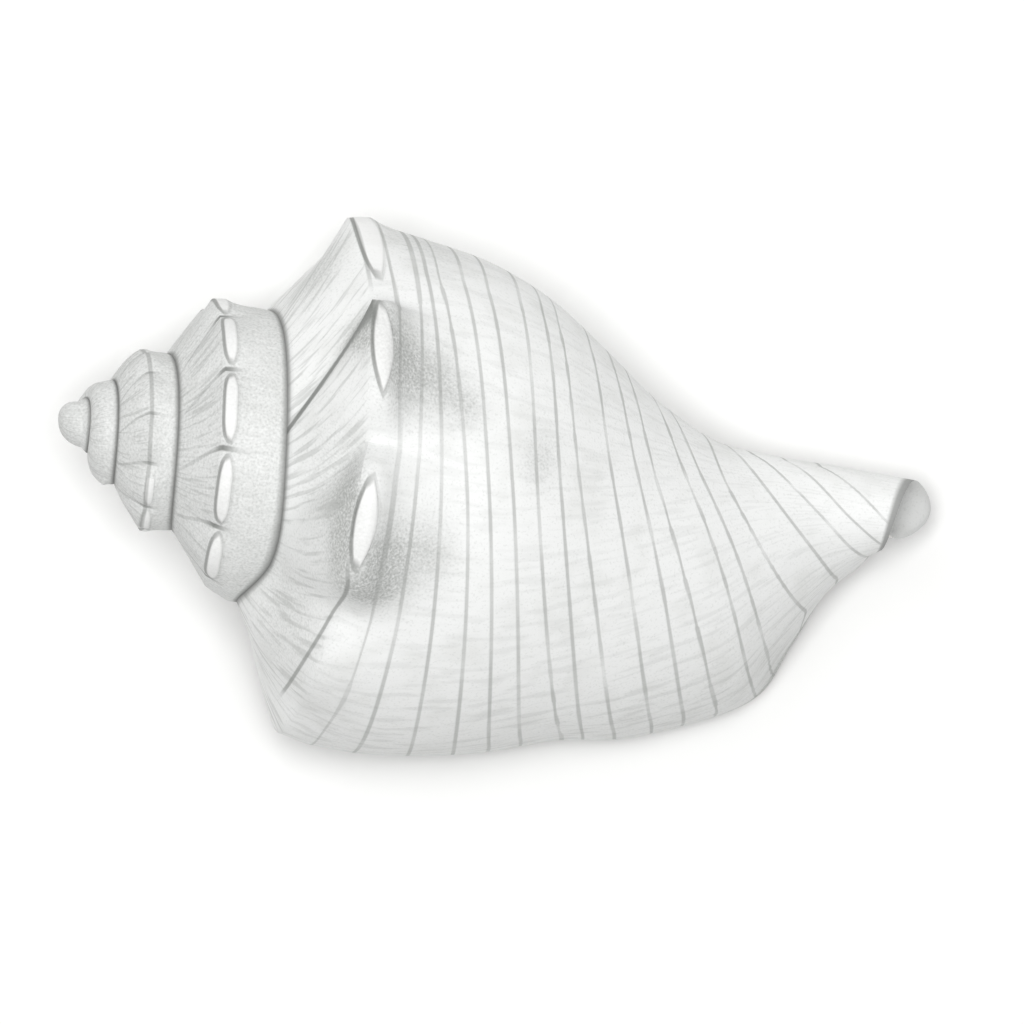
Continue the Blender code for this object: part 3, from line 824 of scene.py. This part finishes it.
@dataclass(frozen=True)
class BleachedAragonite:
    """Bleached aragonite, grown by the animal and dried on a beach: chalky, with grey lines and grain."""

    ground: str = "#F5F6F5"
    mottle: str = "#EAEBE9"
    grain: str = "#CFD1CE"
    line: str = "#9FA19E"
    # The colour of the stains, and of the painted shade beside the knobs and on the ramps.
    stain: str = "#A9ABA8"
    # The colour of the painted shade in the folds, notches and along the lens edges, and of the keel's line.
    crease: str = "#7E807D"
    # The colour of the sutures and the canal's end edge, and of the painted shade in the canal's end scoop.
    seam_and_shade: str = "#767775"
    # Wear and a painted highlight on the knob crests.
    worn: str = "#FAFAF9"
    roughness: float = 0.62
    mottle_mm: float = 9.0
    grain_mm: float = 0.6
    crease_mm: float = 0.42
    line_mm: float = 0.36
    soft_edge: tuple[float, float] = (1.7, 0.6)
    values: tuple[str, ...] = (
        "growth", "across_growth", "spiral", "pitch", "banding", "seam_and_shade", "hatch", "stain", "lens",
        "lens_edge", "fold", "folding", "keel", "keeling",
    )

    def material(self) -> bpy.types.Material:
        """Build the material.

        Returns:
            The material for the shell's outside.
        """
        made = bpy.data.materials.new("bleached aragonite")
        made.use_nodes = True
        tree = made.node_tree
        tree.nodes.clear()
        math_node, blend_node, range_node = "ShaderNodeMath", "ShaderNodeMix", "ShaderNodeMapRange"
        place = node(tree, "ShaderNodeTexCoord").outputs["Object"]
        value = {}
        for name in self.values:
            value[name] = node(tree, "ShaderNodeAttribute", attribute_name=name).outputs["Fac"]

        # Mottling a few millimetres across, and a grain drawn coarser than the real one so that it shows.
        # Growth lines run across the whorl, so they follow the stage. A spiral line is drawn now harder, now
        # softer along its way.
        links = {"X": value["growth"], "Y": value["across_growth"]}
        along = node(tree, "ShaderNodeCombineXYZ", links).outputs[0]
        nearest = node(tree, math_node, {0: value["spiral"]}, operation="ROUND").outputs[0]
        stretch = node(tree, math_node, {0: value["growth"], 1: 0.12}, operation="MULTIPLY").outputs[0]
        pressed = node(tree, "ShaderNodeCombineXYZ", {"X": stretch, "Y": nearest}).outputs[0]
        noise = {}
        for name, vector, scale, detail in (
            ("mottle", place, 1 / (self.mottle_mm * MM), 4.0),
            ("grain", place, 1 / (self.grain_mm * MM), 2.0),
            ("growth", along, 1.0, 2.0),
            ("pressure", pressed, 0.9, 1.0),
        ):
            links = {"Vector": vector, "Scale": scale, "Detail": detail}
            noise[name] = node(tree, "ShaderNodeTexNoise", links).outputs["Fac"]

        # How far a place is from the nearest spiral line, lens edge and keel line, in mm, and from the
        # nearest fold, as a share of the knobs' spacing.
        apart = {}
        for name in ("spiral", "fold"):
            middle = node(tree, math_node, {0: value[name], 1: 0.5}, operation="ADD").outputs[0]
            part = node(tree, math_node, {0: middle}, operation="FRACT").outputs[0]
            side = node(tree, math_node, {0: part, 1: 0.5}, operation="SUBTRACT").outputs[0]
            apart[name] = node(tree, math_node, {0: side}, operation="ABSOLUTE").outputs[0]
        links = {0: apart["spiral"], 1: value["pitch"]}
        apart["spiral"] = node(tree, math_node, links, operation="MULTIPLY").outputs[0]
        for name in ("lens", "keel"):
            apart[name] = node(tree, math_node, {0: value[name]}, operation="ABSOLUTE").outputs[0]

        # Each mark as a share from 0 to 1: near its line, or where its noise is high.
        far, near = self.soft_edge
        mark = {}
        for name, source, low, high in (
            ("line", apart["spiral"], far * self.line_mm, near * self.line_mm),
            ("fold", apart["fold"], 0.045, 0.018),
            ("edge", apart["lens"], far * self.crease_mm, near * self.crease_mm),
            ("keel", apart["keel"], far * self.crease_mm, near * self.crease_mm),
            ("worn", value["lens"], 0.0, 0.35),
            ("mottle", noise["mottle"], 0.45, 0.75),
            ("speck", noise["grain"], 0.54, 0.72),
            ("rub", noise["grain"], -0.1, 0.85),
            ("growth", noise["growth"], 0.48, 0.66),
            ("pressure", noise["pressure"], 0.05, 0.6),
        ):
            links = {"Value": source, "From Min": low, "From Max": high}
            mark[name] = node(tree, range_node, links, interpolation_type="SMOOTHSTEP").outputs["Result"]

        # The colour is laid on in coats: the mark, where it shows, how strong it is, and its colour.
        colour = linear(self.ground)
        for name, shown, strength, over in (
            ("mottle", None, 0.7, self.mottle),
            ("speck", None, 0.3, self.grain),
            # The rubbed grey coat: painted shade beside the knobs and on the ramps, with the grey behind the
            # lip and on the spire.
            ("rub", value["stain"], 1.0, self.stain),
            # Growth lines, drawn stronger on the ramp as painted shade.
            ("growth", value["hatch"], 0.5, self.stain),
            ("line", value["banding"], 0.58, self.line),
            # The pale lenses: wear and a painted highlight on the knob crests.
            ("worn", None, 0.6, self.worn),
            # Painted shade along the lenses' edges.
            ("edge", value["lens_edge"], 0.75, self.crease),
            ("keel", value["keeling"], 0.75, self.crease),
            # Painted shade in the folds, notches and creases.
            ("fold", value["folding"], 0.9, self.crease),
        ):
            links = {0: mark[name], 1: strength}
            if shown is not None:
                links[1] = node(tree, math_node, {0: shown, 1: strength}, operation="MULTIPLY").outputs[0]
            share = node(tree, math_node, links, operation="MULTIPLY").outputs[0]
            if name == "line":
                links = {0: share, 1: mark["pressure"]}
                share = node(tree, math_node, links, operation="MULTIPLY").outputs[0]
            links = {"Factor": share, 6: colour, 7: linear(over)}
            colour = node(tree, blend_node, links, data_type="RGBA").outputs[2]
        # Darker along the sutures and the canal's end edge, and painted grey as shade in the canal's end
        # scoop.
        links = {"Factor": value["seam_and_shade"], 6: colour, 7: linear(self.seam_and_shade)}
        colour = node(tree, blend_node, links, data_type="RGBA").outputs[2]

        # The relief: shallow grooves on the spiral lines and creases, fine growth ridges and grain, and
        # raised lenses.
        relief = 0.0
        for source, shown, depth in (
            (mark["line"], value["banding"], -0.35),
            (mark["edge"], value["lens_edge"], -0.8),
            (mark["keel"], value["keeling"], -0.5),
            (mark["fold"], value["folding"], -0.9),
            (noise["growth"], value["hatch"], 0.5),
            (noise["grain"], 1.0, 0.25),
            (mark["worn"], 1.0, 0.8),
        ):
            here = node(tree, math_node, {0: source, 1: shown}, operation="MULTIPLY").outputs[0]
            links = {0: here, 1: depth, 2: relief}
            relief = node(tree, math_node, links, operation="MULTIPLY_ADD").outputs[0]
        links = {"Height": relief, "Strength": 0.5, "Distance": 0.35 * MM}
        bump = node(tree, "ShaderNodeBump", links).outputs[0]
        links = {
            "Base Color": colour,
            "Roughness": self.roughness,
            "IOR": 1.53,
            "Specular IOR Level": 0.3,
            "Normal": bump,
        }
        surface = node(tree, "ShaderNodeBsdfPrincipled", links).outputs[0]
        node(tree, "ShaderNodeOutputMaterial", {"Surface": surface})
        return made


@dataclass(frozen=True)
class AragoniteGlaze:
    """The aragonite glaze that the animal lays inside its aperture: smooth, pale and a little glossy."""

    ground: str = "#F1F0ED"
    shade: str = "#DCDAD5"
    roughness: float = 0.3
    cloud_mm: float = 18.0

    def material(self) -> bpy.types.Material:
        """Build the material.

        Returns:
            The material for the lip's edge and the hollow.
        """
        made = bpy.data.materials.new("aragonite glaze")
        made.use_nodes = True
        tree = made.node_tree
        tree.nodes.clear()
        place = node(tree, "ShaderNodeTexCoord").outputs["Object"]
        links = {"Vector": place, "Scale": 1 / (self.cloud_mm * MM), "Detail": 3.0}
        cloud = node(tree, "ShaderNodeTexNoise", links).outputs["Fac"]
        links = {"Factor": cloud, 6: linear(self.ground), 7: linear(self.shade)}
        colour = node(tree, "ShaderNodeMix", links, data_type="RGBA").outputs[2]
        links = {"Height": cloud, "Strength": 0.3, "Distance": 0.3 * MM}
        bump = node(tree, "ShaderNodeBump", links).outputs[0]
        links = {
            "Base Color": colour,
            "Roughness": self.roughness,
            "IOR": 1.53,
            "Normal": bump,
            "Coat Weight": 0.15,
        }
        surface = node(tree, "ShaderNodeBsdfPrincipled", links).outputs[0]
        node(tree, "ShaderNodeOutputMaterial", {"Surface": surface})
        return made


@dataclass
class ConchShell:
    """The whole shell: skin, lip's edge, hollow and the pillar's tip."""

    growth: GrowthLaw = field(default_factory=GrowthLaw)
    knobs: Knobs = field(default_factory=Knobs)
    pose: RestPose = field(default_factory=RestPose)
    wall: Wall = field(default_factory=Wall)
    markings: Markings = field(default_factory=Markings)
    outside: BleachedAragonite = field(default_factory=BleachedAragonite)
    inside: AragoniteGlaze = field(default_factory=AragoniteGlaze)
    column_step: float = 1.5
    ramp_rows: int = 20
    ramp_crowding: float = 1.3
    wall_rows: int = 14
    base_rows: int = 90
    hollow_columns: int = 80
    line_probe: float = 0.05
    rim_rows: int = 6
    rim_reach: float = 0.6
    sharp_deg: float = 55.0
    scoop_rings: int = 13
    scoop_power: float = 1.5
    # The scoop inside the canal's end is painted grey as shade.
    scoop_painted_shade: float = 0.3
    scoop_bottom: float = 182.0
    scoop_depth: float = 14.0
    scoop_shape: Pairs = ((0, 1.0), (0.12, 0.84), (0.5, 0.6), (1, 0.0))

    @property
    def per_turn(self) -> int:
        """The number of columns in one whorl."""
        return round(TURN / self.column_step)

    @property
    def ramp_shares(self) -> Array:
        """The share of each row of the ramp, closer together by the suture."""
        return np.linspace(0, 1, self.ramp_rows + 1) ** self.ramp_crowding

    @property
    def wall_lines(self) -> Array:
        """The line of each row between the shoulder and where the next whorl attaches."""
        return np.linspace(0, 1, self.wall_rows + 1)[1:] * self.growth.free_line

    @property
    def far_lines(self) -> Array:
        """The line of each row from the hollow's corner to the canal's end."""
        return np.linspace(self.growth.free_line + self.growth.corner_gap, LAST_LINE, self.base_rows)

    def values(self, stage: Array, line: Array, share: Array, across: Array) -> dict[str, Array]:
        """Work out what the outside's material reads: line numbers, distances in mm, and strengths.

        Args:
            stage: Growth angle of each point.
            line: Place across the whorl; on the ramp, less than 0.
            share: 0 at the suture, 1 on the shoulder and below it.
            across: Distance from the shoulder in mm; on the ramp, less than 0.

        Returns:
            The values by name.
        """
        marks, growth = self.markings, self.growth
        below = np.clip(line, 0, LAST_LINE)
        number, span = marks.spiral(stage, below)
        before = np.clip(below - self.line_probe, 0, LAST_LINE)
        after = np.clip(below + self.line_probe, 0, LAST_LINE)
        step = growth.base(stage, after) - growth.base(stage, before)
        wide = np.linalg.norm(step, axis=-1) / (after - before)
        lens, lens_edge = marks.lens(stage, across, self.knobs, growth)
        fold, folding = marks.fold(stage, share, across, self.knobs)
        keel, keeling = marks.keel(stage, across)
        on_ramp = (across < 0) * 1.0
        everywhere, ramp, lip = marks.hatch
        return {
            "growth": (stage - self.knobs.turn(stage) * (1 - share)) / marks.growth_deg,
            "across_growth": across / marks.growth_mm,
            "spiral": number,
            "pitch": span * wide,
            "banding": marks.banding(stage, line),
            # Growth lines: real ones, drawn stronger on the ramp as painted shade.
            "hatch": everywhere + ramp * on_ramp + lip * smoothstep(*marks.hatch_lip, stage) * (1 - on_ramp),
            # The stain value holds the painted shade beside the knobs and on the ramps.
            "stain": marks.stain(stage, line),
            "lens": lens,
            "lens_edge": lens_edge,
            "fold": fold,
            "folding": folding,
            "keel": keel,
            "keeling": keeling,
        }

    def ramp_grid(self, stage: Array) -> tuple[Array, dict[str, Array]]:
        """Work out the ramp between suture and shoulder, with its slanted folds.

        Args:
            stage: Growth angle of each column.

        Returns:
            The points, and their values.
        """
        share, columns = np.broadcast_arrays(self.ramp_shares[:, None], stage[None, :])
        plain = self.growth.ramp(columns, share)
        point = self.knobs.push(plain, columns, share**self.knobs.ramp_fall, share, self.growth)
        across = -np.linalg.norm(plain - plain[-1:], axis=-1)
        marks = self.markings
        values = self.values(columns, across / marks.ramp_line, share, across)
        young, grown = marks.seam_size
        size = young + (grown - young) * smoothstep(*marks.seam_growth, columns)
        apart = np.linalg.norm(plain - plain[:1], axis=-1) / (marks.seam_mm[0] * size)
        values["seam_and_shade"] = marks.seam_dark * np.exp(-(apart**2))
        return self.pose.own(point, columns, 0.0, share), values

    def base_grid(self, stage: Array, rows: Array) -> tuple[Array, dict[str, Array]]:
        """Work out the whorl below its shoulder.

        Args:
            stage: Growth angle of each column.
            rows: The line of each row, or of each row and column.

        Returns:
            The points, and their values.
        """
        rows, columns = np.broadcast_arrays(rows, stage[None, :])
        plain = self.growth.base(columns, rows)
        share = np.exp(-np.clip(rows - self.knobs.flat, 0, None) / self.knobs.fall)
        share = share * (1 - smoothstep(self.knobs.free, self.growth.free_line, rows))
        point = self.knobs.push(plain, columns, share, 1.0, self.growth)
        across = np.linalg.norm(plain - plain[:1], axis=-1)
        values = self.values(columns, rows, np.ones(rows.shape), across)
        marks = self.markings
        last = smoothstep(*marks.last_whorl, columns)
        near = self.growth.base(columns, self.growth.attach_line(columns))
        apart = np.linalg.norm(plain - near, axis=-1) * (1 - last) + marks.seam_gone_mm * last
        values["seam_and_shade"] = marks.seam_dark * np.exp(-((apart / marks.seam_mm[1]) ** 2))
        values["seam_and_shade"] += marks.canal_dark * smoothstep(*marks.canal_edge, rows)
        return self.pose.own(point, columns, rows), values

    def rim(self, skin: Array, back: Array, inner: Array) -> Array:
        """Round the lip's edge: half an ellipse from the skin to the hollow, bulging the way the lip grows.

        Args:
            skin: The skin's last column.
            back: The column before it.
            inner: The hollow's first column.

        Returns:
            Rows of points between the two.
        """
        turn = np.linspace(0, math.pi, self.rim_rows + 1)[1:-1, None, None]
        middle, half = (skin + inner) / 2, (skin - inner) / 2
        ahead = skin - back
        ahead = ahead / np.maximum(np.linalg.norm(ahead, axis=-1), 1e-9)[:, None]
        reach = self.rim_reach * np.linalg.norm(half, axis=-1)[:, None]
        return middle + half * np.cos(turn) + ahead * reach * np.sin(turn)

    def scoop(self, loop: Array) -> Array:
        """Scoop out the canal's end: rings that shrink towards the canal's middle as they go in.

        Args:
            loop: The edge of the canal's end.

        Returns:
            Rings of points from the edge to the bottom.
        """
        centre = np.array([self.scoop_bottom, *self.pose.canal_lean])
        steps = np.linspace(0, 1, self.scoop_rings)
        share = smooth_list(self.scoop_shape, steps)[:, None, None]
        depth = steps[:, None, None] ** self.scoop_power * self.scoop_depth
        rings = centre + (loop - centre) * np.concatenate([np.ones_like(share), share, share], axis=-1)
        rings[..., 0] = np.maximum(rings[..., 0] - depth[..., 0], self.scoop_bottom)
        return rings

    def spire(self, surface: Surface) -> None:
        """Add the skin of the older whorls: the ramp, and the wall down to where the next whorl attaches.

        Args:
            surface: The mesh in the making.
        """
        growth = self.growth
        stage = growth.start_stage + self.column_step * np.arange((growth.turns - 1) * self.per_turn + 1)
        ramp, ramp_values = self.ramp_grid(stage)
        surface.join(surface.add(ramp, ramp_values), Finish.OUTSIDE)
        rows = np.linspace(0, 1, self.wall_rows + 1)[:, None] * growth.attach_line(stage)[None, :]
        side, side_values = self.base_grid(stage, rows)
        surface.join(surface.add(side, side_values), Finish.OUTSIDE)

    def last_whorl(self, surface: Surface) -> Array:
        """Add the last whorl's skin, from the suture to the canal's end.

        Args:
            surface: The mesh in the making.

        Returns:
            The skin's points, a row for each line and a column for each stage.
        """
        stage = self.growth.lip_stage - TURN + self.column_step * np.arange(self.per_turn + 1)
        ramp, ramp_values = self.ramp_grid(stage)
        surface.join(surface.add(ramp, ramp_values), Finish.OUTSIDE)
        lines = np.concatenate([[0.0], self.wall_lines, self.far_lines])
        side, side_values = self.base_grid(stage, lines[:, None])
        surface.join(surface.add(side, side_values), Finish.OUTSIDE)
        return np.concatenate([ramp, side[1:]])

    def hollow(self, surface: Surface) -> tuple[Array, Array]:
        """Add the hollow's outer wall, which closes on the pillar further in, and the pillar.

        Args:
            surface: The mesh in the making.

        Returns:
            The outer wall's points, rows as the skin's, and the pillar's, from the hollow's corner on.
        """
        growth, wall, shares = self.growth, self.wall, self.ramp_shares
        row_lines = np.concatenate([np.zeros(len(shares)), self.wall_lines, self.far_lines])
        knots = np.concatenate([shares * 2, 2 + self.wall_lines, 2 + self.far_lines])
        share = np.linspace(0, 1, self.hollow_columns + 1)
        end = np.interp(row_lines, *np.array(wall.hollow_end, float).T)
        stage = growth.lip_stage + (end[:, None] - growth.lip_stage) * share[None, :]
        outer = wall.inside(stage, knots, growth)
        pillar_line = np.maximum(row_lines[:, None], growth.corner_line(stage - TURN))
        pillar = growth.base(stage - TURN, pillar_line)
        closed = smoothstep(wall.closing_from, 1.0, share)[None, :, None]
        outer = pillar + (outer - pillar) * (1 - closed)
        reach_share = np.concatenate([shares, np.ones(len(row_lines) - len(shares))])
        inner = self.pose.own(outer, stage, row_lines[:, None], reach_share[:, None])
        surface.join(surface.add(inner, {}), Finish.INSIDE, flip=True)
        first = len(shares) + self.wall_rows
        core = self.pose.own(pillar[first:], stage[first:] - TURN, pillar_line[first:])
        surface.join(surface.add(core, {}), Finish.INSIDE)
        return inner, core

    def edges(self, surface: Surface, skin: Array, inner: Array, core: Array) -> None:
        """Add the lip's rounded edge, the edge along the canal's end, and the scoop in that end, painted grey
        as shade.

        Args:
            surface: The mesh in the making.
            skin: The last whorl's skin.
            inner: The hollow's outer wall.
            core: The pillar.
        """
        lip = self.rim(skin[:, -1], skin[:, -2], inner[:, 0])
        lip = np.concatenate([skin[None, :, -1], lip, inner[None, :, 0]])
        surface.join(surface.add(lip, {}), Finish.INSIDE)
        canal = np.stack([skin[-1, ::-1][: self.hollow_columns + 1], inner[-1]])
        surface.join(surface.add(canal, {}), Finish.INSIDE)
        loop = np.concatenate([skin[-1, : self.per_turn - self.hollow_columns + 1], core[-1, ::-1]])
        marks = self.markings
        # The scoop is painted grey as shade, through the seam's colour.
        plain = {"seam_and_shade": self.scoop_painted_shade, "lens": -marks.lens_reach, "keel": marks.keel_reach, "spiral": 0.5}
        shade = {name: np.array(value) for name, value in plain.items()}
        surface.join(surface.add(self.scoop(loop), shade), Finish.OUTSIDE)

    def build(self) -> bpy.types.Object:
        """Build the shell in one mesh, and dress it.

        Returns:
            The finished object.
        """
        surface = Surface(self.outside.values)
        self.spire(surface)
        skin = self.last_whorl(surface)
        inner, core = self.hollow(surface)
        self.edges(surface, skin, inner, core)
        obj = surface.object("conch_shell", self.pose)
        obj.data.materials.append(self.outside.material())
        obj.data.materials.append(self.inside.material())
        obj.data.set_sharp_from_angle(angle=math.radians(self.sharp_deg))
        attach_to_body(obj, "root")
        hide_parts("shell")
        LOG.info("%s: %d faces", obj.name, len(obj.data.polygons))
        return obj


@dataclass(frozen=True)
class Studio:
    """A plain pale floor, soft light from above, and a long lens straight over the shell."""

    floor: str = "#FBFBFA"
    floor_half: float = 6.0
    key: tuple[tuple[float, float, float], float, float] = ((-0.75, 0.8, 1.4), 1.2, 4.0)
    top: tuple[tuple[float, float, float], float, float] = ((-0.1, 0.05, 2.2), 0.9, 33.5)
    world: str = "#FFFFFF"
    world_strength: float = 0.34
    view_width_mm: float = 234.7
    lens_mm: float = 400.0
    sensor_mm: float = 36.0
    target_mm: tuple[float, float, float] = (5.06, 0.12, 45.0)
    turn_deg: float = 9.52

    def camera(self) -> None:
        """Place the camera over the shell, turned so that the shell's axis runs down to the right."""
        data = bpy.data.cameras.new("camera")
        data.lens, data.sensor_width = self.lens_mm, self.sensor_mm
        data.clip_end = 50.0
        camera = bpy.data.objects.new("camera", data)
        x, y, z = self.target_mm
        away = self.view_width_mm * self.lens_mm / self.sensor_mm
        camera.location = (x * MM, y * MM, (z + away) * MM)
        camera.rotation_euler = (0.0, 0.0, math.radians(self.turn_deg))
        bpy.context.scene.collection.objects.link(camera)
        bpy.context.scene.camera = camera

    def light(self, name: str, place: tuple[float, float, float], size: float, power: float) -> None:
        """Add a square soft light that faces the shell.

        Args:
            name: The light's name.
            place: Where it is, in metres.
            size: Its side, in metres.
            power: Its power, in watts.
        """
        data = bpy.data.lights.new(name, "AREA")
        data.size, data.energy = size, power
        lamp = bpy.data.objects.new(name, data)
        lamp.location = place
        lamp.rotation_euler = (-Vector(place)).to_track_quat("-Z", "Y").to_euler()
        lamp.visible_camera = False
        bpy.context.scene.collection.objects.link(lamp)

    def ground(self) -> None:
        """Lay a wide flat floor at z = 0."""
        half = self.floor_half
        mesh = bpy.data.meshes.new("floor")
        corners = [(-half, -half, 0), (half, -half, 0), (half, half, 0), (-half, half, 0)]
        mesh.from_pydata(corners, [], [(0, 1, 2, 3)])
        made = bpy.data.materials.new("white paper floor")
        made.use_nodes = True
        shader = made.node_tree.nodes["Principled BSDF"]
        shader.inputs["Base Color"].default_value = linear(self.floor)
        shader.inputs["Roughness"].default_value = 0.95
        shader.inputs["Specular IOR Level"].default_value = 0.0
        mesh.materials.append(made)
        floor = bpy.data.objects.new("floor", mesh)
        bpy.context.scene.collection.objects.link(floor)
        floor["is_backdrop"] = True

    def build(self) -> None:
        """Set up floor, lights, world, view and camera."""
        self.ground()
        self.light("key", *self.key)
        self.light("top", *self.top)
        world = bpy.data.worlds.new("studio")
        world.use_nodes = True
        back = world.node_tree.nodes["Background"]
        back.inputs["Color"].default_value = linear(self.world)
        back.inputs["Strength"].default_value = self.world_strength
        bpy.context.scene.world = world
        bpy.context.scene.view_settings.view_transform = "Standard"
        self.camera()


def corners() -> list[list[float]]:
    """Read the shown object's lowest and highest corners as plain lists."""
    return [[float(c) for c in corner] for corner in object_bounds()]


def main() -> None:
    """Load the frame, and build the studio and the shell."""
    logging.basicConfig(level=logging.INFO, format="%(name)s: %(message)s")
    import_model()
    Studio().build()
    ConchShell().build()


if __name__ == "__main__":
    main()
